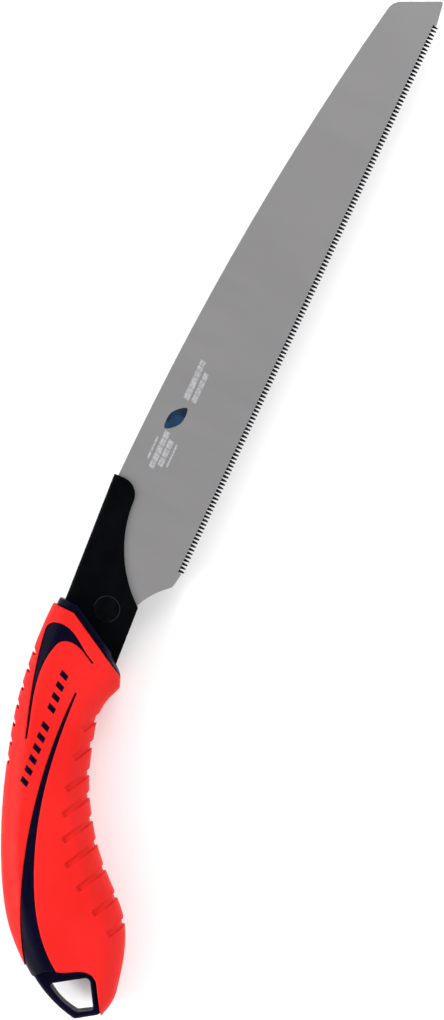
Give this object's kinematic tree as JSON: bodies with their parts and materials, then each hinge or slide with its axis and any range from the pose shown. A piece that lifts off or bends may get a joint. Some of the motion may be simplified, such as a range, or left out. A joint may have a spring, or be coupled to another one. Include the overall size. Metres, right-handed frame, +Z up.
{
  "type": "japanese pull saw",
  "caption": "Pull saw with a hook-on replaceable blade in a folded steel holder and a curved soft grip with a hanging loop.",
  "frame": {"origin": "the middle of the flats on the side of the grip that the saw lies on", "axes": "+X along the toothed edge towards the tip, +Y from the teeth to the blade's back, +Z up from the side the saw lies on"},
  "size_m": [0.4269, 0.0881, 0.026],
  "materials": {
    "blade_steel": "satin, nickel plated",
    "black_steel": "satin black coating",
    "black_steel_head": "satin black coating",
    "bush_brass": "turned",
    "bare_steel": "bare",
    "navy_plastic": "fine matt",
    "red_soft_grip": "soft matt"
  },
  "bodies": {
    "handle": {"blade_holder": "black_steel", "pivot_rivet": "black_steel_head", "tang_spacer": "bare_steel", "tang_pins": "bare_steel", "core_left": "navy_plastic", "core_right": "navy_plastic", "grip": "red_soft_grip"},
    "bush": {"pivot_bush": "bush_brass"},
    "blade": {"saw_blade": "blade_steel"}
  },
  "joints": [
    {"name": "blade_swing", "type": "hinge", "parent": "handle", "child": "bush", "pos_m": [0.094, 0.02, 0.013], "axis": [0, 0, -1], "range_deg": [0, 30]},
    {"name": "blade_release", "type": "slide", "parent": "bush", "child": "blade", "axis": [0.0628, -0.998, 0], "range_m": [0, 0.03]}
  ]
}
